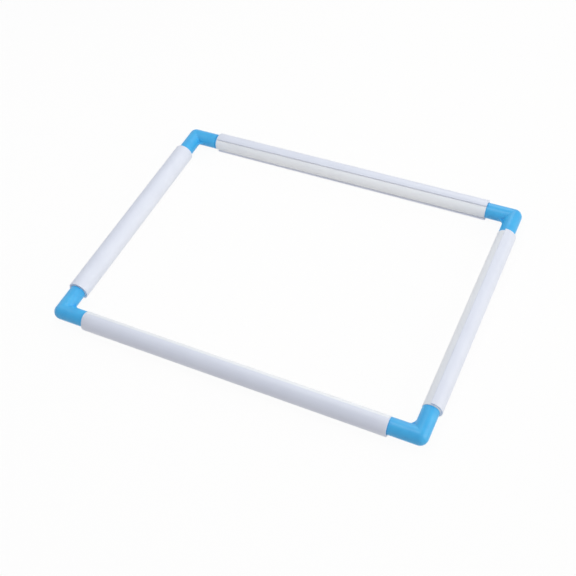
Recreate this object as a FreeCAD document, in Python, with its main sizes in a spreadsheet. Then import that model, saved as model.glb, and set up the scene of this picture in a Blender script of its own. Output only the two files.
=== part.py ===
import FreeCAD, Part
import math
import os
import Sketcher

# Clip embroidery hoop: four round tubes pushed onto the spigots of four hollow moulded elbows,
# with a C-shaped clip snapped over each tube to grip the cloth.
# Millimetres and degrees, +Z up. The origin is the middle of the frame, on the surface that it lies on.
# The long sides run along X. Angles round a side are measured from the horizontal that points
# into the frame, and grow upwards.

# Driving sizes
SIZES = {
    # the frame over the outsides of its elbows
    "frame_length": 400,
    "frame_width": 300,
    # the tubes, cut from one extruded pipe
    "tube_diameter": 17.4,
    "tube_wall": 1.5,
    "tube_edge_chamfer": 0.3,
    "end_float": 0.05,
    "back_tube_shortfall": 2,
    # the elbows: each arm ends in a shoulder that stops the tube, so far from the axes' corner,
    # and lies a little inside the tube's outside
    "arm_reach": 28.8,
    "arm_inset": 0.4,
    "arm_edge_chamfer": 0.4,
    "spigot_length": 20,
    "spigot_clearance": 0.05,
    "spigot_wall": 1.9,
    "spigot_lead_length": 2,
    "spigot_lead_drop": 0.8,
    # the web inside the corner reaches so far along each arm, and the middle of its hollow edge's
    # arc lies so far out from the arms
    "web_leg": 6,
    "web_arc_reach": 8.4,
    "web_thickness": 2,
    # the clips, a C section with its gap left open for the tube
    "clip_wall": 2,
    "clip_clearance": 0.05,
    "clip_gap_angle": 112,
    "clip_lip_radius": 0.6,
    "clip_edge_chamfer": 0.3,
    # how much shorter each clip is than a tube that fills its side
    "front_clip_trim": 1,
    "right_clip_trim": 0.2,
    "back_clip_trim": 2.8,
    "left_clip_trim": 1.3,
    # how far each clip has crept along its tube, and which way its gap faces
    "front_clip_shift": 0.9,
    "right_clip_shift": 0.5,
    "back_clip_shift": 1.6,
    "left_clip_shift": -0.6,
    "front_gap_direction": 26,
    "right_gap_direction": 28,
    "back_gap_direction": 8,
    "left_gap_direction": 240,
    # how far a cutting shape runs past the face that it cuts
    "overrun": 1,
}

# The same sizes as they are used, written once
TUBE_RADIUS = "(sizes.tube_diameter / 2)"
TUBE_BORE_RADIUS = f"({TUBE_RADIUS} - sizes.tube_wall)"
ARM_RADIUS = f"({TUBE_RADIUS} - sizes.arm_inset)"
SPIGOT_RADIUS = f"({TUBE_BORE_RADIUS} - sizes.spigot_clearance)"
ELBOW_BORE_RADIUS = f"({SPIGOT_RADIUS} - sizes.spigot_wall)"
SPIGOT_END = "(sizes.arm_reach + sizes.spigot_length)"
CLIP_INNER_RADIUS = f"({TUBE_RADIUS} + sizes.clip_clearance)"
CLIP_OUTER_RADIUS = f"({CLIP_INNER_RADIUS} + sizes.clip_wall)"
HALF_LENGTH = f"(sizes.frame_length / 2 - {ARM_RADIUS})"
HALF_WIDTH = f"(sizes.frame_width / 2 - {ARM_RADIUS})"

# Each side, with half the distance between its corners. The first runs along +X, with the frame
# on its +Y hand, and each next one is a quarter turn further round.
SIDES = {
    "front": HALF_LENGTH,
    "right": HALF_WIDTH,
    "back": HALF_LENGTH,
    "left": HALF_WIDTH,
}

# Each corner, with the place where its two axes meet. The first opens to +X and +Y, and each
# next one is a quarter turn further round.
CORNERS = {
    "front_left": (f"-{HALF_LENGTH}", f"-{HALF_WIDTH}"),
    "front_right": (HALF_LENGTH, f"-{HALF_WIDTH}"),
    "back_right": (HALF_LENGTH, HALF_WIDTH),
    "back_left": (f"-{HALF_LENGTH}", HALF_WIDTH),
}

QUARTER_TURN = 90
FULL_TURN = 360
# Two sizes that differ by less than this share of themselves are the same size
SAME_SIZE = 1e-6
UP = FreeCAD.Vector(0, 0, 1)
ORIGIN = FreeCAD.Vector(0, 0, 0)


# The sheet of sizes

document = FreeCAD.newDocument("clip_embroidery_hoop")
sheet = document.addObject("Spreadsheet::Sheet", "sizes")
for row, (alias, value) in enumerate(SIZES.items(), start=1):
    sheet.set(f"A{row}", alias)
    sheet.set(f"B{row}", str(value))
    sheet.setAlias(f"B{row}", alias)
document.recompute()


def value_of(expression):
    """The number that an expression of the sheet's sizes gives."""
    return float(sheet.evalExpression(expression))


# Sketches drawn on a body's own planes

def new_sketch(body, name, plane_role):
    """An empty sketch on one of the body's origin planes."""
    sketch = body.newObject("Sketcher::SketchObject", name)
    plane = next(part for part in body.Origin.OriginFeatures if part.Role == plane_role)
    sketch.AttachmentSupport = [(plane, "")]
    sketch.MapMode = "FlatFace"
    return sketch


def bind_constraint(sketch, name, expression, *constraint):
    """Adds a constraint with a name, and ties its value to the sheet."""
    index = sketch.addConstraint(Sketcher.Constraint(*constraint, value_of(expression)))
    sketch.renameConstraint(index, name)
    sketch.setExpression(f"Constraints.{name}", expression)


def place_point(sketch, name, edge, end, x_expression, y_expression):
    """Holds one end of an edge at a place given from the sketch's origin."""
    if x_expression == "0":
        sketch.addConstraint(Sketcher.Constraint("PointOnObject", edge, end, -2))
    else:
        bind_constraint(sketch, f"{name}_x", x_expression, "DistanceX", -1, 1, edge, end)
    if y_expression == "0":
        sketch.addConstraint(Sketcher.Constraint("PointOnObject", edge, end, -1))
    else:
        bind_constraint(sketch, f"{name}_y", y_expression, "DistanceY", -1, 1, edge, end)


def draw_outline(sketch, points, arc_centres):
    """A closed outline through named points. The edge that leaves a point in arc_centres
    is an arc about the centre given there, the shorter way round."""
    names = list(points)
    spots = {
        name: FreeCAD.Vector(value_of(x_expression), value_of(y_expression), 0)
        for name, (x_expression, y_expression) in points.items()
    }
    joints = []
    for name, following in zip(names, names[1:] + names[:1]):
        start_end = (1, 2)
        if name in arc_centres:
            centre_x, centre_y = arc_centres[name]
            centre = FreeCAD.Vector(value_of(centre_x), value_of(centre_y), 0)
            from_spoke = spots[name] - centre
            to_spoke = spots[following] - centre
            from_angle = math.atan2(from_spoke.y, from_spoke.x)
            to_angle = math.atan2(to_spoke.y, to_spoke.x)
            if (to_angle - from_angle) % math.tau > math.pi:
                from_angle, to_angle = to_angle, from_angle
                start_end = (2, 1)
            circle = Part.Circle(centre, UP, from_spoke.Length)
            edge = sketch.addGeometry(Part.ArcOfCircle(circle, from_angle, to_angle))
        else:
            edge = sketch.addGeometry(Part.LineSegment(spots[name], spots[following]))
        joints.append((name, edge, *start_end))
    for position, (name, edge, start, end) in enumerate(joints):
        _, next_edge, next_start, _ = joints[(position + 1) % len(joints)]
        sketch.addConstraint(Sketcher.Constraint("Coincident", edge, end, next_edge, next_start))
        place_point(sketch, name, edge, start, *points[name])
        if name not in arc_centres:
            continue
        # An arc's ends and the X of its centre leave it no freedom
        centre_x, _ = arc_centres[name]
        if centre_x == "0":
            sketch.addConstraint(Sketcher.Constraint("PointOnObject", edge, 3, -2))
        else:
            bind_constraint(sketch, f"{name}_centre_x", centre_x, "DistanceX", -1, 1, edge, 3)


def new_body(label, place, turns):
    """An empty body at a place in X and Y, turned about +Z, at the height of the tubes' axes."""
    body = document.addObject("PartDesign::Body", label)
    body.Label = label
    body.Placement = FreeCAD.Placement(ORIGIN, FreeCAD.Rotation(UP, turns * QUARTER_TURN))
    x_expression, y_expression = place
    body.setExpression("Placement.Base.x", x_expression)
    body.setExpression("Placement.Base.y", y_expression)
    body.setExpression("Placement.Base.z", CLIP_OUTER_RADIUS)
    return body


def require_change(body, feature, grows):
    """Computes a feature, and stops the build if it left the body's volume as it was."""
    document.recompute()
    before = feature.BaseFeature.Shape.Volume
    after = feature.Shape.Volume
    if (after > before) != grows or after == before:
        raise RuntimeError(f"{body.Label}: {feature.Name} changed nothing")


# The elbows

def add_turned(body, kind, name, axis, points, arc_centres):
    """Turns an outline a full circle about one of the sketch's axes."""
    sketch = new_sketch(body, f"{name}_outline", "XY_Plane")
    draw_outline(sketch, points, arc_centres)
    feature = body.newObject(f"PartDesign::{kind}", name)
    feature.Profile = sketch
    feature.ReferenceAxis = (sketch, [axis])
    feature.Angle = FULL_TURN
    return feature


def swap(points):
    """The same outline, with its two directions exchanged."""
    return {name: (y_place, x_place) for name, (x_place, y_place) in points.items()}


def make_elbow(corner):
    """One hollow elbow: two arms in a mitre under a ball-shaped corner, each with a shoulder
    and a spigot with a tapered lead, and a thin web that fills the inside of the corner."""
    body = new_body(f"{corner}_elbow", CORNERS[corner], list(CORNERS).index(corner))

    arm_and_spigot = {
        "arm_start": ("0", ARM_RADIUS),
        "arm_edge": ("sizes.arm_reach - sizes.arm_edge_chamfer", ARM_RADIUS),
        "shoulder_edge": ("sizes.arm_reach", f"{ARM_RADIUS} - sizes.arm_edge_chamfer"),
        "shoulder_root": ("sizes.arm_reach", SPIGOT_RADIUS),
        "lead_start": (f"{SPIGOT_END} - sizes.spigot_lead_length", SPIGOT_RADIUS),
        "lead_end": (SPIGOT_END, f"{SPIGOT_RADIUS} - sizes.spigot_lead_drop"),
        "spigot_centre": (SPIGOT_END, "0"),
    }
    nosed_arm = {"nose_tip": (f"-{ARM_RADIUS}", "0"), **arm_and_spigot}
    add_turned(body, "Revolution", "long_side_arm", "H_Axis", nosed_arm, {"nose_tip": ("0", "0")})
    plain_arm = swap({"corner_centre": ("0", "0"), **arm_and_spigot})
    short_arm = add_turned(body, "Revolution", "short_side_arm", "V_Axis", plain_arm, {})
    require_change(body, short_arm, grows=True)

    # The web reaches back into the walls of both arms, half way to their bores
    web_root = f"(({ARM_RADIUS} + {ELBOW_BORE_RADIUS}) / 2)"
    web_end = f"({ARM_RADIUS} + sizes.web_leg)"
    arc_centre = f"({ARM_RADIUS} + sizes.web_arc_reach)"
    web_sketch = new_sketch(body, "web_outline", "XY_Plane")
    web_points = {
        "root": (web_root, web_root),
        "long_side_root": (web_end, web_root),
        "long_side_tip": (web_end, ARM_RADIUS),
        "short_side_tip": (ARM_RADIUS, web_end),
        "short_side_root": (web_root, web_end),
    }
    draw_outline(web_sketch, web_points, {"long_side_tip": (arc_centre, arc_centre)})
    web = body.newObject("PartDesign::Pad", "corner_web")
    web.Profile = web_sketch
    web.SideType = "Symmetric"
    web.setExpression("Length", "sizes.web_thickness")
    require_change(body, web, grows=True)

    bore_end = f"({SPIGOT_END} + sizes.overrun)"
    bore = {
        "bore_wall": ("0", ELBOW_BORE_RADIUS),
        "mouth_wall": (bore_end, ELBOW_BORE_RADIUS),
        "mouth_centre": (bore_end, "0"),
    }
    nosed_bore = {"bore_tip": (f"-{ELBOW_BORE_RADIUS}", "0"), **bore}
    long_bore = add_turned(
        body, "Groove", "long_side_bore", "H_Axis", nosed_bore, {"bore_tip": ("0", "0")}
    )
    require_change(body, long_bore, grows=False)
    plain_bore = swap({"bore_centre": ("0", "0"), **bore})
    short_bore = add_turned(body, "Groove", "short_side_bore", "V_Axis", plain_bore, {})
    require_change(body, short_bore, grows=False)
    return body


# The tubes

def side_place(side, along):
    """A place on a side's axis, so far along +X or +Y from its middle, as two expressions."""
    return {
        "front": (along, f"-{HALF_WIDTH}"),
        "right": (HALF_LENGTH, along),
        "back": (along, HALF_WIDTH),
        "left": (f"-{HALF_LENGTH}", along),
    }[side]


def full_length(side):
    """From shoulder to shoulder, less the play at both ends."""
    return f"(2 * ({SIDES[side]} - sizes.arm_reach - sizes.end_float))"


def round_edges(shape, radii):
    """Names of the circular edges about the side's axis that have one of these radii."""
    return [
        f"Edge{number}"
        for number, edge in enumerate(shape.Edges, start=1)
        if isinstance(edge.Curve, Part.Circle)
        and any(math.isclose(edge.Curve.Radius, radius, rel_tol=SAME_SIZE) for radius in radii)
    ]


def make_tube(side):
    """One plain tube, cut square, with the burr taken off both edges of both ends. The back one
    is cut a little short and stands against the right elbow's shoulder."""
    shortfall = "sizes.back_tube_shortfall" if side == "back" else "0"
    place = side_place(side, f"{shortfall} / 2")
    body = new_body(f"{side}_tube", place, list(SIDES).index(side))
    sketch = new_sketch(body, "pipe_section", "YZ_Plane")
    for name, radius in (("outside", TUBE_RADIUS), ("bore", TUBE_BORE_RADIUS)):
        ring = sketch.addGeometry(Part.Circle(ORIGIN, UP, value_of(radius)))
        sketch.addConstraint(Sketcher.Constraint("Coincident", ring, 3, -1, 1))
        bind_constraint(sketch, name, radius, "Radius", ring)
    pipe = body.newObject("PartDesign::Pad", "cut_length")
    pipe.Profile = sketch
    pipe.SideType = "Symmetric"
    pipe.setExpression("Length", f"{full_length(side)} - {shortfall}")
    document.recompute()
    edges = round_edges(pipe.Shape, [value_of(TUBE_RADIUS), value_of(TUBE_BORE_RADIUS)])
    deburred = body.newObject("PartDesign::Chamfer", "deburred_ends")
    deburred.Base = (pipe, edges)
    deburred.setExpression("Size", "sizes.tube_edge_chamfer")
    require_change(body, deburred, grows=False)
    return body


# The clips

def make_clip(side):
    """One clip: a C section a little shorter than its side, with rounded lips."""
    place = side_place(side, f"sizes.{side}_clip_shift")
    body = new_body(f"{side}_clip", place, list(SIDES).index(side))
    sketch = new_sketch(body, "clip_section", "YZ_Plane")
    sketch.setExpression("AttachmentOffset.Rotation.Angle", f"sizes.{side}_gap_direction")

    # The gap is centred on the sketch's X axis, and the lips are cut along its spokes
    half_gap = math.radians(value_of("sizes.clip_gap_angle") / 2)
    outer_radius = value_of(CLIP_OUTER_RADIUS)
    inner_radius = value_of(CLIP_INNER_RADIUS)

    def spoke_point(radius, angle):
        return FreeCAD.Vector(radius * math.cos(angle), radius * math.sin(angle), 0)

    arcs = {}
    for name, radius in (("outside", outer_radius), ("inside", inner_radius)):
        circle = Part.Circle(ORIGIN, UP, radius)
        arc = sketch.addGeometry(Part.ArcOfCircle(circle, half_gap, math.tau - half_gap))
        sketch.addConstraint(Sketcher.Constraint("Coincident", arc, 3, -1, 1))
        arcs[name] = arc
    for arc_end, angle in ((1, half_gap), (2, -half_gap)):
        start = spoke_point(inner_radius, angle)
        lip = sketch.addGeometry(Part.LineSegment(start, spoke_point(outer_radius, angle)))
        sketch.addConstraint(Sketcher.Constraint("Coincident", arcs["inside"], arc_end, lip, 1))
        sketch.addConstraint(Sketcher.Constraint("Coincident", arcs["outside"], arc_end, lip, 2))
        sketch.addConstraint(Sketcher.Constraint("PointOnObject", -1, 1, lip))
        sign = "" if angle > 0 else "-"
        index = sketch.addConstraint(Sketcher.Constraint("Angle", lip, angle))
        sketch.renameConstraint(index, f"lip_{arc_end}")
        sketch.setExpression(f"Constraints.lip_{arc_end}", f"{sign}sizes.clip_gap_angle / 2")
    bind_constraint(sketch, "outer_radius", CLIP_OUTER_RADIUS, "Radius", arcs["outside"])
    bind_constraint(sketch, "inner_radius", CLIP_INNER_RADIUS, "Radius", arcs["inside"])

    strip = body.newObject("PartDesign::Pad", "cut_length")
    strip.Profile = sketch
    strip.SideType = "Symmetric"
    strip.setExpression("Length", f"{full_length(side)} - sizes.{side}_clip_trim")
    document.recompute()

    lip_edges = [
        f"Edge{number}"
        for number, edge in enumerate(strip.Shape.Edges, start=1)
        if isinstance(edge.Curve, Part.Line)
        and math.isclose(edge.Length, strip.Length.Value, rel_tol=SAME_SIZE)
    ]
    lips = body.newObject("PartDesign::Fillet", "rounded_lips")
    lips.Base = (strip, lip_edges)
    lips.setExpression("Radius", "sizes.clip_lip_radius")
    require_change(body, lips, grows=False)

    ends = body.newObject("PartDesign::Chamfer", "eased_ends")
    ends.Base = (lips, round_edges(lips.Shape, [outer_radius]))
    ends.setExpression("Size", "sizes.clip_edge_chamfer")
    require_change(body, ends, grows=False)
    return body


bodies = [make_elbow(corner) for corner in CORNERS]
bodies += [make_tube(side) for side in SIDES]
bodies += [make_clip(side) for side in SIDES]
document.recompute()


# Every object is checked before anything is written

for item in document.Objects:
    if {"Invalid", "Error"} & set(item.State):
        raise RuntimeError(f"{item.Label} failed: {item.State}")
for body in bodies:
    if body.Shape.isNull() or not body.Shape.isValid():
        raise RuntimeError(f"{body.Label} has no valid shape")
    if len(body.Shape.Solids) != 1:
        raise RuntimeError(f"{body.Label} isn't one solid")

os.makedirs("parts", exist_ok=True)
for body in bodies:
    body.Shape.exportStep(f"parts/{body.Label}.step")
    box = body.Shape.BoundBox
    print(
        f"{body.Label}: {body.Shape.Volume:.1f} mm3, "
        f"X {box.XMin:.2f} to {box.XMax:.2f}, "
        f"Y {box.YMin:.2f} to {box.YMax:.2f}, "
        f"Z {box.ZMin:.2f} to {box.ZMax:.2f}"
    )
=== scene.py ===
# %% [markdown]
# # A clip embroidery hoop in Blender
#
# The object is a rectangular needlework frame. Four white plastic tubes are pushed onto the
# spigots of four blue moulded elbows, and a white C-shaped clip is snapped over each tube.
# The cloth, which isn't shown, is gripped between tube and clip.
#
# The frame comes first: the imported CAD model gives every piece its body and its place, and
# each Blender piece then stands for one CAD node. The tubes and clips follow a simple rule,
# a section carried along a path, so Geometry Nodes make them. The elbows have a shape that no
# single path gives, so their mesh is worked out ring by ring. Each clip has crept a millimetre
# or so along its tube, and the back tube was sawn 2 mm short, both as in the photograph.

# %% Load the frame
import math

import bmesh
import bpy
import numpy as np
from mathutils import Matrix, Vector


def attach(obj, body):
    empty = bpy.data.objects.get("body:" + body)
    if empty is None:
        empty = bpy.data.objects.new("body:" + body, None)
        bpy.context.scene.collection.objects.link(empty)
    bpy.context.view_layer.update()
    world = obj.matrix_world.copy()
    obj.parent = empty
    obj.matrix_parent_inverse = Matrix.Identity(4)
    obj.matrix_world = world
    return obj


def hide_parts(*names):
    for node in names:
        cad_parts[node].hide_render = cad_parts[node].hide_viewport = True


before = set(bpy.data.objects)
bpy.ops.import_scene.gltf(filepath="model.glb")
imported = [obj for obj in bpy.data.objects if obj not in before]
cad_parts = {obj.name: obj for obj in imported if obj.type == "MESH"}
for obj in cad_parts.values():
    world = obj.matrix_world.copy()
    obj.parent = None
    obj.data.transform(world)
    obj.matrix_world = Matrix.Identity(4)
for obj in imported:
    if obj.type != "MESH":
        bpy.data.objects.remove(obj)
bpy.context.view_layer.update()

# %% [markdown]
# ## The layout
#
# The frame is laid out by the middle lines of its four sides. They all lie at one height, the
# outer radius of a clip, because the frame rests on its clips. Tubes and clips are made lying
# along X and are then turned about the upright axis, so that each side is a row in a table.
# Sizes are in millimetres and degrees, the same as in the part's own source, so that each
# Blender piece fills the place that the CAD gives it. The scene itself is in metres.

# %% Middle lines, sides and corners
MM = 0.001
HALF_LENGTH = 191.7
HALF_WIDTH = 141.7
AXIS_HEIGHT = 10.75
ARM_RADIUS = 8.3

# Each side: how far it is turned, where the middles of its tube and its clip lie, how long
# they are, which way the clip's gap faces, counted from level inward over the top, and how much
# that turns from one end to the other
SIDES = {
    "front": dict(
        turn=0, tube_at=(0, -HALF_WIDTH), tube=325.7,
        clip_at=(0.9, -HALF_WIDTH), clip=324.7, gap=26, twist=0,
    ),
    "right": dict(
        turn=90, tube_at=(HALF_LENGTH, 0), tube=225.7,
        clip_at=(HALF_LENGTH, 0.5), clip=225.5, gap=28, twist=0,
    ),
    "back": dict(
        turn=180, tube_at=(1, HALF_WIDTH), tube=323.7,
        clip_at=(1.6, HALF_WIDTH), clip=322.9, gap=8, twist=-8,
    ),
    "left": dict(
        turn=270, tube_at=(-HALF_LENGTH, 0), tube=225.7,
        clip_at=(-HALF_LENGTH, -0.6), clip=224.4, gap=240, twist=0,
    ),
}
CORNERS = {
    "front_left": dict(place=(-HALF_LENGTH, -HALF_WIDTH), turn=0),
    "front_right": dict(place=(HALF_LENGTH, -HALF_WIDTH), turn=90),
    "back_right": dict(place=(HALF_LENGTH, HALF_WIDTH), turn=180),
    "back_left": dict(place=(-HALF_LENGTH, HALF_WIDTH), turn=270),
}
over_elbows = [2 * (half + ARM_RADIUS) for half in (HALF_LENGTH, HALF_WIDTH)]
print("frame over its elbows:", over_elbows, "mm")

# %% [markdown]
# ## The camera
#
# The photograph was taken from the front right, about fifty degrees above level, with a little
# roll. The lens and the place were fitted to the straight edges of the four sides, so the
# render can be laid over the photograph.

# %% Camera
CAMERA_LENS = 56.67
CAMERA_NEAR = 0.01
CAMERA_PLACE = (0.31891, -0.53185, 0.71322)
CAMERA_AZIMUTH, CAMERA_ELEVATION, CAMERA_ROLL = (math.radians(d) for d in (31.590, 50.061, -8.161))

back = Vector((
    math.sin(CAMERA_AZIMUTH) * math.cos(CAMERA_ELEVATION),
    -math.cos(CAMERA_AZIMUTH) * math.cos(CAMERA_ELEVATION),
    math.sin(CAMERA_ELEVATION),
))
level = Vector((math.cos(CAMERA_AZIMUTH), math.sin(CAMERA_AZIMUTH), 0))
upright = back.cross(level)
right = level * math.cos(CAMERA_ROLL) + upright * math.sin(CAMERA_ROLL)
up = upright * math.cos(CAMERA_ROLL) - level * math.sin(CAMERA_ROLL)
turned_camera = Matrix((right, up, back)).transposed().to_4x4()

camera = bpy.data.objects.new("camera", bpy.data.cameras.new("camera"))
camera.data.lens = CAMERA_LENS
camera.data.clip_start = CAMERA_NEAR
camera.matrix_world = Matrix.Translation(CAMERA_PLACE) @ turned_camera
bpy.context.scene.collection.objects.link(camera)
bpy.context.scene.camera = camera
print("camera at", [round(v, 3) for v in CAMERA_PLACE], "lens", CAMERA_LENS, "mm")

# %% [markdown]
# ## Two helpers
#
# Colours are given as sRGB hex values, but shaders work in linear light, so one function turns
# the one into the other. A second small function adds a node to any tree, sets its properties and
# fills its sockets, with a value or with a link. Where it is given a whole node, the link comes
# from that node's first output. Sockets go by name, apart from those that share one name, as a
# Math node's do: they go by number, with 0 for the first.

# %% Helpers for colours and nodes
SKY_BLUE = "#36AAE8"


def linear(hex_colour):
    """An sRGB hex colour as linear RGBA, by the curve of the sRGB standard."""
    channels = [int(hex_colour[i:i + 2], 16) / 255 for i in (1, 3, 5)]
    return (*(c / 12.92 if c <= 0.04045 else ((c + 0.055) / 1.055) ** 2.4 for c in channels), 1)


def add_node(tree, kind, inputs=None, **settings):
    """Adds one node, sets its properties, and fills its sockets with values or links."""
    node = tree.nodes.new(kind)
    for name, value in settings.items():
        setattr(node, name, value)
    for name, value in (inputs or {}).items():
        if isinstance(value, bpy.types.Node):
            value = value.outputs[0]
        if isinstance(value, bpy.types.NodeSocket):
            tree.links.new(value, node.inputs[name])
        else:
            node.inputs[name].default_value = value
    return node


print("sky blue", SKY_BLUE, "in linear light is", [round(c, 3) for c in linear(SKY_BLUE)])

# %% [markdown]
# ## What the plastics share
#
# Both plastics are plain, and only a little noise in the colour, the roughness and the bump
# makes them look made. An image would show its pixels up close, and a noise doesn't. Its scale
# counts its bumps in a metre, so each is worked out from a size in millimetres. Nearly all of
# its values lie in the middle, so a Map Range node takes that part to the range that is wanted.

# %% An empty material, and the settings of all patterns
NOISE_DETAIL = 3.0
NOISE_MIDDLE = {"From Min": 0.3, "From Max": 0.7}
# A Mix node has sockets of every type under the same names, so those for colours go by number:
# the colour at factor 0, the colour at factor 1, and the result
COLOUR_AT_0, COLOUR_AT_1, MIXED_COLOUR = 6, 7, 2


def new_material(name):
    """An empty node material, with its tree and its output."""
    material = bpy.data.materials.new(name)
    material.use_nodes = True
    tree = material.node_tree
    tree.nodes.clear()
    return material, tree, add_node(tree, "ShaderNodeOutputMaterial")


print("middle of a noise's values:", NOISE_MIDDLE)

# %% [markdown]
# ## Finish of the elbows: moulded ABS
#
# The elbows are injection moulded in a glossy sky-blue ABS. A polished mould leaves a smooth
# skin with a faint orange-peel ripple, a millimetre or two across, and the colour varies a
# little where the melt flowed together. ABS has an index of refraction near 1.54. The ripple
# goes into the bump and the roughness, because that is where the eye finds it: in the edge of
# a highlight.

# %% Blue ABS
SKY_BLUE_FLOW = "#3EB4EE"
FLOW_SIZE = 11.0
RIPPLE_SIZE, RIPPLE_HEIGHT, RIPPLE_STRENGTH = 1.6, 0.05, 0.12
POLISH_SIZE = 2.4
ABS_ROUGHNESS = (0.34, 0.42)
ABS_IOR = 1.54


def moulded_blue_abs():
    """Moulded ABS: a smooth, glossy skin, whose highlights waver a little at their edges."""
    material, tree, output = new_material("moulded_sky_blue_abs")
    place = add_node(tree, "ShaderNodeTexCoord").outputs["Object"]
    flow = add_node(tree, "ShaderNodeTexNoise", {
        "Vector": place, "Scale": 1 / (FLOW_SIZE * MM), "Detail": NOISE_DETAIL,
    })
    colour = add_node(tree, "ShaderNodeMix", {
        "Factor": add_node(tree, "ShaderNodeMapRange", {"Value": flow, **NOISE_MIDDLE}),
        COLOUR_AT_0: linear(SKY_BLUE), COLOUR_AT_1: linear(SKY_BLUE_FLOW),
    }, data_type="RGBA")
    ripple = add_node(tree, "ShaderNodeTexNoise", {"Vector": place, "Scale": 1 / (RIPPLE_SIZE * MM)})
    bump = add_node(tree, "ShaderNodeBump", {
        "Height": ripple, "Strength": RIPPLE_STRENGTH, "Distance": RIPPLE_HEIGHT * MM,
    })
    polish = add_node(tree, "ShaderNodeTexNoise", {"Vector": place, "Scale": 1 / (POLISH_SIZE * MM)})
    roughness = add_node(tree, "ShaderNodeMapRange", {
        "Value": polish, **NOISE_MIDDLE, "To Min": ABS_ROUGHNESS[0], "To Max": ABS_ROUGHNESS[1],
    })
    shader = add_node(tree, "ShaderNodeBsdfPrincipled", {
        "Base Color": colour.outputs[MIXED_COLOUR], "Roughness": roughness,
        "IOR": ABS_IOR, "Normal": bump,
    })
    tree.links.new(shader.outputs["BSDF"], output.inputs["Surface"])
    return material


blue_abs = moulded_blue_abs()
print("made", blue_abs.name)

# %% [markdown]
# ## Finish of the tubes and clips: extruded PVC
#
# Both are pushed hot through a steel die, which draws faint lines along their length, a
# fraction of a millimetre apart. Seen from arm's length the lines only soften the highlight.
# The white has a cool, slightly violet cast, and the tubes are a little whiter than the clips.
# A pattern that runs along a piece needs a direction, so each piece carries an attribute with
# its own place before it was turned into the frame, and the noise is stretched along the first
# of its axes.

# %% White PVC
UNTURNED_PLACE = "unturned"
# Real die lines lie a tenth or two of a millimetre apart. They are drawn coarser, at about the
# finest that the render can show
DIE_LINE_PITCH, DIE_LINE_LENGTH = 0.7, 60.0
DIE_LINE_HEIGHT, DIE_LINE_STRENGTH = 0.04, 0.15
CLOUD_SIZE = 18.0
LINE_SHARE, CLOUD_SHARE = 0.4, 0.6
ROUGHNESS_SPREAD = 0.04
PVC_IOR = 1.53


def extruded_white_pvc(name, light, shade, roughness):
    """Extruded PVC: satin, with highlights that the die lines draw out along the piece."""
    material, tree, output = new_material(name)
    place = add_node(tree, "ShaderNodeAttribute", attribute_name=UNTURNED_PLACE).outputs["Vector"]
    stretched = add_node(tree, "ShaderNodeVectorMath", {
        0: place, 1: (DIE_LINE_PITCH / DIE_LINE_LENGTH, 1, 1),
    }, operation="MULTIPLY")
    lines = add_node(tree, "ShaderNodeTexNoise", {
        "Vector": stretched, "Scale": 1 / (DIE_LINE_PITCH * MM), "Detail": NOISE_DETAIL,
    })
    clouds = add_node(tree, "ShaderNodeTexNoise", {
        "Vector": place, "Scale": 1 / (CLOUD_SIZE * MM), "Detail": NOISE_DETAIL,
    })
    lightness = add_node(tree, "ShaderNodeMath", {
        0: add_node(tree, "ShaderNodeMapRange", {"Value": clouds, **NOISE_MIDDLE, "To Max": CLOUD_SHARE}),
        1: add_node(tree, "ShaderNodeMapRange", {"Value": lines, **NOISE_MIDDLE, "To Max": LINE_SHARE}),
    }, operation="ADD")
    colour = add_node(tree, "ShaderNodeMix", {
        "Factor": lightness, COLOUR_AT_0: linear(shade), COLOUR_AT_1: linear(light),
    }, data_type="RGBA")
    bump = add_node(tree, "ShaderNodeBump", {
        "Height": lines, "Strength": DIE_LINE_STRENGTH, "Distance": DIE_LINE_HEIGHT * MM,
    })
    line_roughness = add_node(tree, "ShaderNodeMapRange", {
        "Value": lines, **NOISE_MIDDLE,
        "To Min": roughness - ROUGHNESS_SPREAD, "To Max": roughness + ROUGHNESS_SPREAD,
    })
    shader = add_node(tree, "ShaderNodeBsdfPrincipled", {
        "Base Color": colour.outputs[MIXED_COLOUR], "Roughness": line_roughness,
        "IOR": PVC_IOR, "Normal": bump,
    })
    tree.links.new(shader.outputs["BSDF"], output.inputs["Surface"])
    return material


clip_pvc = extruded_white_pvc("extruded_white_pvc_clip", light="#E0E4F1", shade="#DBDFED", roughness=0.40)
pipe_pvc = extruded_white_pvc("extruded_white_pvc_pipe", light="#EEF0F5", shade="#EAEDF3", roughness=0.45)
print("made", clip_pvc.name, "and", pipe_pvc.name)

# %% [markdown]
# ## Helpers for Geometry Nodes
#
# A tree's sizes come in through named sockets of its group. Every tube and clip is made lying
# along X with its middle at the origin, so both trees end in the same way: they note each
# point's place for the die lines, turn and move the piece into its side, and give it its
# material.

# %% Helpers for trees
def new_tree(name, sockets):
    """A Geometry Nodes tree with named inputs. Returns it, its inputs and their identifiers."""
    tree = bpy.data.node_groups.new(name, "GeometryNodeTree")
    tree.interface.new_socket("Geometry", in_out="OUTPUT", socket_type="NodeSocketGeometry")
    identifiers = {}
    for label, kind in sockets.items():
        socket = tree.interface.new_socket(label, in_out="INPUT", socket_type=f"NodeSocket{kind}")
        identifiers[label] = socket.identifier
    return tree, add_node(tree, "NodeGroupInput").outputs, identifiers


def turn_into_frame(tree, group, geometry, local_place):
    """Notes where each point of a piece is, then turns the piece about +Z and sets it in its place."""
    noted = add_node(tree, "GeometryNodeStoreNamedAttribute", {
        "Geometry": geometry, "Name": UNTURNED_PLACE,
        "Value": add_node(tree, "ShaderNodeVectorMath", {0: local_place, 1: group["Place"]}),
    }, data_type="FLOAT_VECTOR", domain="POINT")
    turned = add_node(tree, "ShaderNodeVectorRotate", {
        "Vector": local_place, "Angle": group["Turn"],
    }, rotation_type="Z_AXIS")
    return add_node(tree, "GeometryNodeSetPosition", {
        "Geometry": noted, "Position": turned, "Offset": group["Place"],
    })


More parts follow.
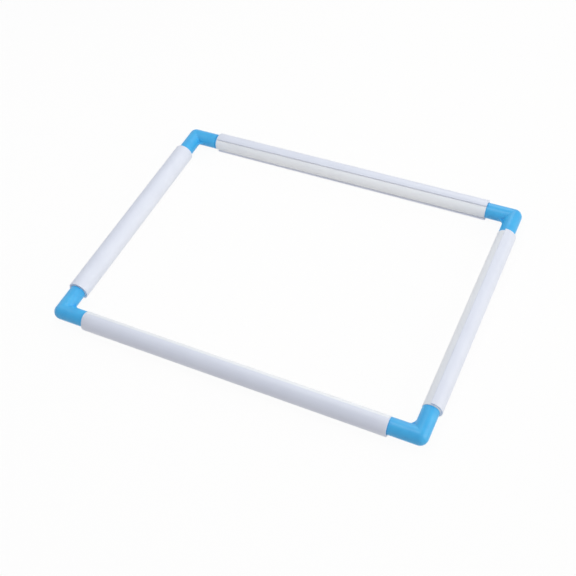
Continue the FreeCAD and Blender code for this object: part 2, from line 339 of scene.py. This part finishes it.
def finish_tree(tree, geometry, material):
    """Ends a tree: no instances are left, and the faces have their material."""
    real = add_node(tree, "GeometryNodeRealizeInstances", {"Geometry": geometry})
    painted = add_node(tree, "GeometryNodeSetMaterial", {"Geometry": real, "Material": material})
    add_node(tree, "NodeGroupOutput", {"Geometry": painted})


print("helpers:", ", ".join(helper.__name__ for helper in (new_tree, turn_into_frame, finish_tree)))

# %% [markdown]
# A modifier runs the tree on an empty object. It keeps its inputs under the sockets'
# identifiers, not under their names, so that is how they are set. Once the object is evaluated,
# its mesh is copied out and the modifier is gone, so what is left is a plain mesh in its place,
# and only then does the piece take the place of its CAD node.

# %% Helpers for finished pieces
EDGE_ANGLE, EDGE_STEPS = 50, 3
SHARP_ANGLE = 35


def plain_piece(name, tree, identifiers, values, edge_rounding=None):
    """Runs a tree on an empty object and returns the result as an object with a plain mesh."""
    piece = bpy.data.objects.new(name, bpy.data.meshes.new(name))
    bpy.context.scene.collection.objects.link(piece)
    modifier = piece.modifiers.new(tree.name, "NODES")
    modifier.node_group = tree
    for label, value in values.items():
        modifier[identifiers[label]] = value
    if edge_rounding:
        bevel = piece.modifiers.new("edges", "BEVEL")
        bevel.width, bevel.segments = edge_rounding * MM, EDGE_STEPS
        bevel.angle_limit = math.radians(EDGE_ANGLE)
    evaluated = piece.evaluated_get(bpy.context.evaluated_depsgraph_get())
    made = bpy.data.meshes.new_from_object(evaluated)
    piece.modifiers.clear()
    piece.data = made
    smooth(piece)
    return piece


def smooth(piece):
    """Smooth shading, with an edge kept sharp where two faces meet at a clear angle."""
    piece.data.name = piece.name
    piece.data.shade_smooth()
    piece.data.set_sharp_from_angle(angle=math.radians(SHARP_ANGLE))


def stand_for(piece, node):
    """The piece takes a CAD node's place and moves with its body."""
    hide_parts(node)
    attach(piece, node)


def measure(piece):
    """Prints a piece's size and its number of faces."""
    size = [round(v / MM, 2) for v in piece.dimensions]
    print(piece.name, size, "mm,", len(piece.data.polygons), "faces")


print("edges stay sharp past", SHARP_ANGLE, "degrees")

# %% [markdown]
# ## The tubes
#
# A tube is a short, thick-walled pipe. It could be a cylinder with a Solidify modifier, but the
# saw leaves a small burr that is scraped off all four edges, so it is turned instead: a thin
# upright rectangle with rounded corners is carried once round a circle, and the ring is then
# laid on its side.

# %% Tree for the tubes
ROUND_STEPS = 128
BURR_STEPS = 3
TUBE_SOCKETS = {
    "Radius": "Float", "Wall": "Float", "Length": "Float", "Edge Rounding": "Float",
    "Turn": "Float", "Place": "Vector", "Material": "Material",
}
tube_tree, group, tube_sockets = new_tree("turned_tube", TUBE_SOCKETS)
section = add_node(tube_tree, "GeometryNodeCurvePrimitiveQuadrilateral", {
    "Width": group["Wall"], "Height": group["Length"],
})
rounded = add_node(tube_tree, "GeometryNodeFilletCurve", {
    "Curve": section, "Radius": group["Edge Rounding"], "Count": BURR_STEPS,
}, mode="POLY")
half_wall = add_node(tube_tree, "ShaderNodeMath", {0: group["Wall"], 1: 2}, operation="DIVIDE")
round_path = add_node(tube_tree, "GeometryNodeCurvePrimitiveCircle", {
    "Resolution": ROUND_STEPS,
    "Radius": add_node(tube_tree, "ShaderNodeMath", {
        0: group["Radius"], 1: half_wall,
    }, operation="SUBTRACT"),
})
level_path = add_node(tube_tree, "GeometryNodeSetCurveNormal", {"Curve": round_path}, mode="Z_UP")
ring = add_node(tube_tree, "GeometryNodeCurveToMesh", {"Curve": level_path, "Profile Curve": rounded})
place = add_node(tube_tree, "GeometryNodeInputPosition")
laid = add_node(tube_tree, "ShaderNodeVectorRotate", {
    "Vector": place, "Angle": math.radians(90),
}, rotation_type="Y_AXIS")
laid_ring = add_node(tube_tree, "GeometryNodeSetPosition", {"Geometry": ring, "Position": laid})
finish_tree(tube_tree, turn_into_frame(tube_tree, group, laid_ring, place), group["Material"])
print("tube tree:", len(tube_tree.nodes), "nodes")

# %% [markdown]
# One tree serves all four tubes, because each differs only in its length, its turn and its
# place. The sizes go in as metres and radians.

# %% Make the tubes
TUBE_RADIUS = 8.7
TUBE_WALL = 1.5
TUBE_EDGE = 0.3
for side, sizes in SIDES.items():
    tube = plain_piece(f"{side}_pipe", tube_tree, tube_sockets, {
        "Radius": TUBE_RADIUS * MM, "Wall": TUBE_WALL * MM, "Length": sizes["tube"] * MM,
        "Edge Rounding": TUBE_EDGE * MM, "Turn": math.radians(sizes["turn"]),
        "Place": Vector((*sizes["tube_at"], AXIS_HEIGHT)) * MM, "Material": pipe_pvc,
    })
    stand_for(tube, f"{side}_tube")
    measure(tube)

# %% [markdown]
# ## The clips
#
# A clip is cut from a long extruded C section. Its wall is even, its mouth takes up less than a
# third of the circle, and its lips are rounded so that they slide over the cloth. It could be
# drawn as two arcs and extruded, but then each lip's corner would have to be worked out. Here
# the section starts as a flat strip of grid, bent round in polar coordinates. Its outline
# becomes a curve, only the four corners are rounded, and the curve is carried along a straight
# path.

# %% The clip's section: a strip, bent round
ARC_STEPS = 56
CLIP_SOCKETS = {
    "Inside Radius": "Float", "Wall": "Float", "Gap": "Float", "Lip Radius": "Float",
    "Length": "Float", "Gap Direction": "Float", "Twist": "Float",
    "Turn": "Float", "Place": "Vector", "Material": "Material",
}
clip_tree, group, clip_sockets = new_tree("extruded_clip", CLIP_SOCKETS)
arc = add_node(clip_tree, "ShaderNodeMath", {0: math.tau, 1: group["Gap"]}, operation="SUBTRACT")
strip = add_node(clip_tree, "GeometryNodeMeshGrid", {
    "Size X": group["Wall"], "Size Y": arc, "Vertices X": 2, "Vertices Y": ARC_STEPS + 1,
})
place = add_node(clip_tree, "GeometryNodeInputPosition")
strip_place = add_node(clip_tree, "ShaderNodeSeparateXYZ", {"Vector": place}).outputs
half_wall = add_node(clip_tree, "ShaderNodeMath", {0: group["Wall"], 1: 2}, operation="DIVIDE")
middle = add_node(clip_tree, "ShaderNodeMath", {0: group["Inside Radius"], 1: half_wall}, operation="ADD")
radius = add_node(clip_tree, "ShaderNodeMath", {0: strip_place["X"], 1: middle}, operation="ADD")
# The angle counts backwards along the strip, which makes the finished clip's faces point outwards
angle = add_node(clip_tree, "ShaderNodeMath", {0: strip_place["Y"], 1: -1}, operation="MULTIPLY")
cosine = add_node(clip_tree, "ShaderNodeMath", {0: angle}, operation="COSINE")
sine = add_node(clip_tree, "ShaderNodeMath", {0: angle}, operation="SINE")
bent = add_node(clip_tree, "GeometryNodeSetPosition", {
    "Geometry": strip,
    "Position": add_node(clip_tree, "ShaderNodeCombineXYZ", {
        "X": add_node(clip_tree, "ShaderNodeMath", {0: radius, 1: cosine}, operation="MULTIPLY"),
        "Y": add_node(clip_tree, "ShaderNodeMath", {0: radius, 1: sine}, operation="MULTIPLY"),
    }),
})
print("a flat strip of", ARC_STEPS, "cells, bent round")

# %% [markdown]
# A corner of the strip is a point with only two neighbours. That has to be noted while the strip
# is still a mesh, because once it is a curve every point has two. The outline is made of the
# edges that have a face on one side only, and its lips are rounded where the note says so. Both
# counts are compared with a value between two whole numbers.

# %% The clip's outline, with rounded lips
LIP_STEPS = 5
ONLY_TWO_NEIGHBOURS = 2.5
ONLY_ONE_FACE = 1.5
corner_note = clip_tree.nodes.new("GeometryNodeCaptureAttribute")
corner_note.capture_items.new("FLOAT", "Corner")
neighbours = add_node(clip_tree, "GeometryNodeInputMeshVertexNeighbors")
at_corner = add_node(clip_tree, "ShaderNodeMath", {
    0: neighbours, 1: ONLY_TWO_NEIGHBOURS,
}, operation="LESS_THAN")
clip_tree.links.new(bent.outputs["Geometry"], corner_note.inputs["Geometry"])
clip_tree.links.new(at_corner.outputs["Value"], corner_note.inputs["Corner"])
edge_faces = add_node(clip_tree, "GeometryNodeInputMeshEdgeNeighbors")
outline = add_node(clip_tree, "GeometryNodeMeshToCurve", {
    "Mesh": corner_note.outputs["Geometry"],
    "Selection": add_node(clip_tree, "ShaderNodeMath", {
        0: edge_faces, 1: ONLY_ONE_FACE,
    }, operation="LESS_THAN"),
})
lips = add_node(clip_tree, "GeometryNodeFilletCurve", {
    "Curve": outline, "Count": LIP_STEPS,
    "Radius": add_node(clip_tree, "ShaderNodeMath", {
        0: corner_note.outputs["Corner"], 1: group["Lip Radius"],
    }, operation="MULTIPLY"),
}, mode="POLY")
print("clip tree so far:", len(clip_tree.nodes), "nodes")

# %% [markdown]
# The outline is carried along the clip's length, and caps close its ends. Real clips come off
# the cooling table with a little twist: the back one here turns by a few degrees from end to
# end. A twist could be put on the path, but turning the finished points is plainer: each turns
# about X by the gap's direction, plus a share of the twist that grows along the length.

# %% The clip's length and twist
LENGTH_POINTS = 25
half_length = add_node(clip_tree, "ShaderNodeMath", {0: group["Length"], 1: 2}, operation="DIVIDE")
minus_half = add_node(clip_tree, "ShaderNodeMath", {0: half_length, 1: -1}, operation="MULTIPLY")
path = add_node(clip_tree, "GeometryNodeCurvePrimitiveLine", {
    "Start": add_node(clip_tree, "ShaderNodeCombineXYZ", {"X": minus_half}),
    "End": add_node(clip_tree, "ShaderNodeCombineXYZ", {"X": half_length}),
})
steps = add_node(clip_tree, "GeometryNodeResampleCurve", {"Curve": path, "Count": LENGTH_POINTS})
level_path = add_node(clip_tree, "GeometryNodeSetCurveNormal", {"Curve": steps}, mode="Z_UP")
swept = add_node(clip_tree, "GeometryNodeCurveToMesh", {
    "Curve": level_path, "Profile Curve": lips, "Fill Caps": True,
})
along = add_node(clip_tree, "ShaderNodeSeparateXYZ", {"Vector": place}).outputs["X"]
share_along = add_node(clip_tree, "ShaderNodeMath", {0: along, 1: group["Length"]}, operation="DIVIDE")
turn_there = add_node(clip_tree, "ShaderNodeMath", {
    0: share_along, 1: group["Twist"], 2: group["Gap Direction"],
}, operation="MULTIPLY_ADD")
twisted = add_node(clip_tree, "GeometryNodeSetPosition", {
    "Geometry": swept,
    "Position": add_node(clip_tree, "ShaderNodeVectorRotate", {
        "Vector": place, "Angle": turn_there,
    }, rotation_type="X_AXIS"),
})
finish_tree(clip_tree, turn_into_frame(clip_tree, group, twisted, place), group["Material"])
print("clip tree:", len(clip_tree.nodes), "nodes")

# %% [markdown]
# A clip's two ends are sawn and their burr is scraped off. These are the only sharp edges that
# it has left, so a Bevel modifier after the tree finds them by their angle.

# %% Make the clips
CLIP_INSIDE = 8.75
CLIP_WALL = 2.0
CLIP_GAP = 112.0
CLIP_LIP = 0.6
CLIP_EDGE = 0.3
for side, sizes in SIDES.items():
    clip = plain_piece(f"{side}_c_clip", clip_tree, clip_sockets, {
        "Inside Radius": CLIP_INSIDE * MM, "Wall": CLIP_WALL * MM, "Gap": math.radians(CLIP_GAP),
        "Lip Radius": CLIP_LIP * MM, "Length": sizes["clip"] * MM,
        "Gap Direction": math.radians(sizes["gap"]), "Twist": math.radians(sizes["twist"]),
        "Turn": math.radians(sizes["turn"]),
        "Place": Vector((*sizes["clip_at"], AXIS_HEIGHT)) * MM, "Material": clip_pvc,
    }, edge_rounding=CLIP_EDGE)
    stand_for(clip, f"{side}_clip")
    measure(clip)

# %% [markdown]
# ## The elbows
#
# An elbow is two round arms that meet in a mitre. Outside, the corner is closed by a quarter of
# a ball. Inside, the arms meet in a crease with a small rounding. A web 2 mm thick stiffens it
# at mid height, which reaches 6 mm along each arm and ends in a shallow hollow edge. Cutting and
# joining cylinders would leave ragged edges that no bevel mends, so the skin is worked out as
# rings instead. Every ring has the same points round it. Along an arm a ring is a circle. At
# the corner the inner points turn round the crease or round the web's edge, while the outer
# points turn round the ball. The rings run from one mouth to the other on the outside and come
# back through the bore, so the whole elbow is one closed skin.
#
# First come the points of one ring: how far round each lies, from the inside of the corner over
# the top to the outside, how large the rounding is there in plan, and how high the fine ridge
# stands that the two halves of the mould leave.

# %% Ring points
# The rounding between the two arms, on the skin and in the bore
CREASE = 0.6
BORE_CREASE = 0.5
# The web's half section: how far it reaches along the arms, and the height above mid plane
WEB_LEG = 6.0
WEB_SECTION = [
    (WEB_LEG, 0.0), (WEB_LEG, 0.35), (WEB_LEG, 0.7), (5.93, 0.83), (5.77, 0.93), (5.5, 0.98),
    (3.5, 1.0), (1.9, 1.05), (1.3, 1.1), (0.85, 1.25), (0.65, 1.5),
]
# How far round the even points lie, over the web and then on the outer half
ABOVE_WEB_ANGLES = np.linspace(14, 90, 20)
OUTER_ANGLES = np.linspace(94, 176, 21)
# The parting ridge's full height, and the share of it that each of the last points has
PARTING_RIDGE = 0.05
PARTING_ANGLES = {178.6: 0, 179.2: 0.6, 180.0: 1}

web = [(math.degrees(math.asin(z / ARM_RADIUS)), plan, 0) for plan, z in WEB_SECTION]
above_web = [(a, CREASE * max(math.cos(math.radians(a)), 0), 0) for a in ABOVE_WEB_ANGLES]
outer = [(a, 0, 0) for a in OUTER_ANGLES]
parting = [(a, 0, share * PARTING_RIDGE) for a, share in PARTING_ANGLES.items()]
upper = web + above_web + outer + parting
lower = [(360 - a, plan, ridge) for a, plan, ridge in reversed(upper[1:-1])]
ring_angles, plan_rounding, ridge_height = (np.array(v) for v in zip(*(upper + lower)))
cosines, sines = np.cos(np.radians(ring_angles)), np.sin(np.radians(ring_angles))
# Straight up and down it has to be exactly 0, so that these points meet at the ball's poles
cosines[np.isclose(ring_angles % 180, 90)] = 0
bore_rounding = BORE_CREASE * np.clip(cosines, 0, None)
print("points round an elbow:", len(ring_angles))

# %% [markdown]
# The arm's length profile is a line of corners, each with its own rounding: the edge of the
# arm, the root of the spigot, the lead that guides it into the tube, and the lips of the mouth.
# A bevel would give all of them one width, so each arc is worked out from its corner: its
# middle lies on the line that halves the angle there.

# %% The arm's profile
ARM_REACH, ARM_EDGE = 28.8, 0.5
SPIGOT_RADIUS, SPIGOT_LENGTH, SPIGOT_ROOT = 7.15, 20.0, 0.25
LEAD_LENGTH, LEAD_DROP = 2.0, 0.8
LEAD_START_ROUNDING, LEAD_END_ROUNDING = 1.0, 0.35
ELBOW_BORE, MOUTH_EDGE = 5.25, 0.3
SPIGOT_END = ARM_REACH + SPIGOT_LENGTH
# How far from the corner an arm is plainly round, past the end of the web
COMMON_RING = 16.0


def rounded_line(corners, steps=4):
    """A line of (along, radius) points, with every corner rounded by its own radius."""
    line = [corners[0][:2]]
    for before, here, after in zip(corners, corners[1:], corners[2:]):
        corner, rounding = np.array(here[:2], float), here[2]
        to_before, to_after = (np.array(p[:2], float) - corner for p in (before, after))
        to_before, to_after = (v / np.linalg.norm(v) for v in (to_before, to_after))
        half = math.acos(np.clip(to_before @ to_after, -1, 1)) / 2
        reach = rounding / math.tan(half)
        halving = (to_before + to_after) / np.linalg.norm(to_before + to_after)
        middle = corner + halving * rounding / math.sin(half)
        start, end = corner + to_before * reach - middle, corner + to_after * reach - middle
        sweep = math.pi - 2 * half
        for share in np.linspace(0, 1, steps + 1):
            weights = math.sin((1 - share) * sweep), math.sin(share * sweep)
            line.append(tuple(middle + (start * weights[0] + end * weights[1]) / math.sin(sweep)))
    return line + [corners[-1][:2]]


skin_profile = rounded_line([
    (COMMON_RING, ARM_RADIUS, 0), (ARM_REACH, ARM_RADIUS, ARM_EDGE),
    (ARM_REACH, SPIGOT_RADIUS, SPIGOT_ROOT),
    (SPIGOT_END - LEAD_LENGTH, SPIGOT_RADIUS, LEAD_START_ROUNDING),
    (SPIGOT_END, SPIGOT_RADIUS - LEAD_DROP, LEAD_END_ROUNDING),
    (SPIGOT_END, ELBOW_BORE, MOUTH_EDGE), (COMMON_RING, ELBOW_BORE, 0),
])
print("rings along an arm's profile:", len(skin_profile))

# %% [markdown]
# At the corner each point round the ring has its own centre in plan. On the inner half it lies
# outside the crease, and on the outer half it is the corner itself, which makes the ball.

# %% The corner's rings
CORNER_STEPS = 20
# How much further out than the web's tips the middle of its hollow edge's arc lies, as a share
WEB_FLATNESS = 0.4
# How far before the turn each of the rings that lead up to it lies
APPROACH = (0.25, 1.0, 2.5, 5.0)
# The least room between two of them where they meet the plainly round part
RING_ROOM = 0.01
# The second arm is the first with its X and Y exchanged
OTHER_ARM = [1, 0, 2]


def arm_rings(profile):
    """Circles round the first arm, in order along its profile. The ridge ends at the shoulder."""
    circles = []
    for along, radius in profile:
        ridged = radius + (1 if radius >= ARM_RADIUS else 0) * ridge_height
        circles.append(np.stack([np.full_like(cosines, along), ridged * cosines, ridged * sines], 1))
    return circles


def corner_rings(radius, rounding, ridge):
    """Rings from the first arm's last circle, round the corner, to the second arm's first."""
    reach = (radius + ridge) * cosines
    height = (radius + ridge) * sines
    inner = reach > 0
    flatness = WEB_FLATNESS * rounding / WEB_LEG
    centre = np.where(inner, reach + (1 + flatness) * rounding, 0)
    bend = np.where(inner, rounding * np.hypot(flatness, 1 + flatness), -reach)
    first_turn = np.where(inner, np.arctan2(flatness, 1 + flatness), 0)
    arc_start = np.where(inner, reach + rounding, 0)
    coming = []
    for order, step in enumerate(reversed(APPROACH), start=1):
        along = np.minimum(arc_start + step, COMMON_RING - order * RING_ROOM)
        coming.append(np.stack([along, reach, height], 1))
    turning = []
    for share in np.linspace(0, 1, CORNER_STEPS + 1):
        turn = first_turn + share * (math.pi / 2 - 2 * first_turn)
        turning.append(np.stack([centre - bend * np.sin(turn), centre - bend * np.cos(turn), height], 1))
    leaving = [ring[:, OTHER_ARM] for ring in reversed(coming)]
    return coming + turning + leaving


first_arm = arm_rings(skin_profile)
second_arm = [ring[:, OTHER_ARM] for ring in first_arm]
outer_corner = corner_rings(ARM_RADIUS, plan_rounding, ridge_height)
bore_corner = corner_rings(ELBOW_BORE, bore_rounding, 0)
elbow_rings = np.array(outer_corner + second_arm + bore_corner[::-1] + first_arm[::-1])
print("rings in an elbow:", len(elbow_rings))

# %% [markdown]
# Faces join each ring to the next, and the last to the first. At the ball's top and bottom many
# points fall together, so they are welded into one, and the faces are then turned outwards.

# %% Make the elbows
# Points nearer to each other than this are one
WELD = 0.002


def elbow_mesh(name, place, turn):
    """Skins the rings, sets them in their corner, and welds the points that meet."""
    count, around = elbow_rings.shape[:2]
    cos_turn, sin_turn = round(math.cos(math.radians(turn))), round(math.sin(math.radians(turn)))
    turned = elbow_rings @ np.array([[cos_turn, sin_turn, 0], [-sin_turn, cos_turn, 0], [0, 0, 1]])
    points = (turned + np.array([*place, AXIS_HEIGHT])).reshape(-1, 3) * MM
    faces = []
    for ring in range(count):
        here, there = ring * around, (ring + 1) % count * around
        for step in range(around):
            following = (step + 1) % around
            faces.append((here + step, here + following, there + following, there + step))
    mesh = bpy.data.meshes.new(name)
    mesh.from_pydata(points.tolist(), [], faces)
    work = bmesh.new()
    work.from_mesh(mesh)
    bmesh.ops.remove_doubles(work, verts=work.verts, dist=WELD * MM)
    bmesh.ops.recalc_face_normals(work, faces=work.faces)
    work.to_mesh(mesh)
    work.free()
    return mesh


for corner, sizes in CORNERS.items():
    name = f"{corner}_moulding"
    elbow = bpy.data.objects.new(name, elbow_mesh(name, sizes["place"], sizes["turn"]))
    bpy.context.scene.collection.objects.link(elbow)
    elbow.data.materials.append(blue_abs)
    smooth(elbow)
    stand_for(elbow, f"{corner}_elbow")
    measure(elbow)

# %% [markdown]
# ## The white ground
#
# The photograph has a plain white ground. A photographer gets it by lighting the paper until it
# is as bright as white can be, while the object gets less light. Here that takes no lamp: the
# world is white for the camera and for whatever a glossy surface mirrors, and nearly all of it
# shows through the paper. For all other light it is plain white paper, so a faint shadow stays
# under the frame, and its undersides get no more than what paper bounces. A glowing floor would
# look the same, but Blender would sample it as a lamp, and that makes the render grainy. From
# its back the paper is open, so a clip that is pulled off downwards is seen, and is lit.

# %% White paper
PAPER_COLOUR = "#F4F1EC"
# How much of the paper itself the camera sees, the rest being the white world behind it
PAPER_SHARE = 0.05
WHITE = (1, 1, 1, 1)


def seen_or_mirrored(tree):
    """1 for what the camera sees, straight or mirrored or through something clear, else 0."""
    rays = add_node(tree, "ShaderNodeLightPath").outputs
    mirrored = add_node(tree, "ShaderNodeMath", {
        0: rays["Is Glossy Ray"], 1: rays["Is Transmission Ray"],
    }, operation="MAXIMUM")
    return add_node(tree, "ShaderNodeMath", {0: rays["Is Camera Ray"], 1: mirrored}, operation="MAXIMUM")


def white_ground():
    """Matt white paper, which the white world shows through."""
    material, tree, output = new_material("white_paper_ground")
    paper = add_node(tree, "ShaderNodeBsdfDiffuse", {"Color": linear(PAPER_COLOUR)})
    clear = add_node(tree, "ShaderNodeBsdfTransparent", {"Color": WHITE})
    see_through = add_node(tree, "ShaderNodeMath", {
        0: seen_or_mirrored(tree), 1: 1 - PAPER_SHARE,
    }, operation="MULTIPLY")
    from_back = add_node(tree, "ShaderNodeNewGeometry").outputs["Backfacing"]
    clear_share = add_node(tree, "ShaderNodeMath", {0: see_through, 1: from_back}, operation="MAXIMUM")
    mixed = add_node(tree, "ShaderNodeMixShader", {0: clear_share, 1: paper, 2: clear})
    tree.links.new(mixed.outputs[0], output.inputs["Surface"])
    return material


ground_paper = white_ground()
print("made", ground_paper.name, "with", PAPER_SHARE, "of it seen")

# %% [markdown]
# The floor is one square, a fifth of a millimetre below the clips so that no two faces share a
# plane.

# %% Floor
# In metres, as the lamps are
PAPER_DEPTH = 0.0002
PAPER_REACH = 3.0
floor = bpy.data.objects.new("floor", bpy.data.meshes.new("floor"))
paper_corners = [
    (x * PAPER_REACH, y * PAPER_REACH, -PAPER_DEPTH) for x, y in ((-1, -1), (1, -1), (1, 1), (-1, 1))
]
floor.data.from_pydata(paper_corners, [], [(0, 1, 2, 3)])
floor.data.materials.append(ground_paper)
bpy.context.scene.collection.objects.link(floor)
print("ground:", 2 * PAPER_REACH, "m wide")

# %% [markdown]
# ## The light
#
# The shading tells where the light stood. Outer faces on the right are the brightest, so a large
# window is on that side. The inner faces of the back and the left side are brighter than far
# lights could make them, which takes lamps close above the frame. The powers were fitted: the
# picture was rendered with one light at a time, and the sum that comes nearest to the
# photograph gives each light's share. The lamps are hidden from the camera, because the one
# overhead would otherwise cover the view from the top.

# %% Softboxes
LAMPLIGHT = "#FFFEF3"
SOFTBOXES = {
    "right_window": dict(place=(1.48, 0.16, 0.58), size=1.1, watts=9.3),
    "back_box": dict(place=(0, 0.9, 0.6), size=0.4, watts=1.44),
    "overhead_box": dict(place=(0, 0, 0.6), size=0.3, watts=0.92),
    "left_box": dict(place=(-0.55, 0, 0.4), size=0.3, watts=0.28),
}
for name, settings in SOFTBOXES.items():
    lamp = bpy.data.objects.new(name, bpy.data.lights.new(name, "AREA"))
    lamp.data.energy, lamp.data.size = settings["watts"], settings["size"]
    lamp.data.color = linear(LAMPLIGHT)[:3]
    lamp.location = settings["place"]
    lamp.rotation_euler = Vector(settings["place"]).to_track_quat("Z", "Y").to_euler()
    lamp.visible_camera = False
    bpy.context.scene.collection.objects.link(lamp)
print("softboxes:", ", ".join(SOFTBOXES))

# %% [markdown]
# The rest of the light comes from a white tent round the object. It gets brighter upwards and a
# little to the right, evenly along one slope. Warm sides and a cool top give white plastic its
# violet-grey tops and its warmer flanks.

# %% The white tent round it all
TENT_SIDES, TENT_TOP = "#FFF8F3", "#E8F0FF"
TENT_BRIGHTNESS = 0.40
TENT_SLOPE = (0.078, -0.026, 0.26)

world = bpy.data.worlds.new("white_tent")
world.use_nodes = True
bpy.context.scene.world = world
tree = world.node_tree
tree.nodes.clear()
direction = add_node(tree, "ShaderNodeTexCoord").outputs["Generated"]
slope = add_node(tree, "ShaderNodeVectorMath", {0: direction, 1: TENT_SLOPE}, operation="DOT_PRODUCT")
brightness = add_node(tree, "ShaderNodeMath", {
    0: slope.outputs["Value"], 1: TENT_BRIGHTNESS,
}, operation="ADD")
tent_colour = add_node(tree, "ShaderNodeMix", {
    "Factor": add_node(tree, "ShaderNodeSeparateXYZ", {"Vector": direction}).outputs["Z"],
    COLOUR_AT_0: linear(TENT_SIDES), COLOUR_AT_1: linear(TENT_TOP),
}, data_type="RGBA")
tent = add_node(tree, "ShaderNodeBackground", {
    "Color": tent_colour.outputs[MIXED_COLOUR], "Strength": brightness,
})
ground = add_node(tree, "ShaderNodeBackground", {"Color": WHITE, "Strength": 1})
chosen = add_node(tree, "ShaderNodeMixShader", {0: seen_or_mirrored(tree), 1: tent, 2: ground})
add_node(tree, "ShaderNodeOutputWorld", {"Surface": chosen})
bpy.context.scene.view_settings.view_transform = "Standard"
swing = math.hypot(*TENT_SLOPE)
print("tent from", round(TENT_BRIGHTNESS - swing, 3), "to", round(TENT_BRIGHTNESS + swing, 3))
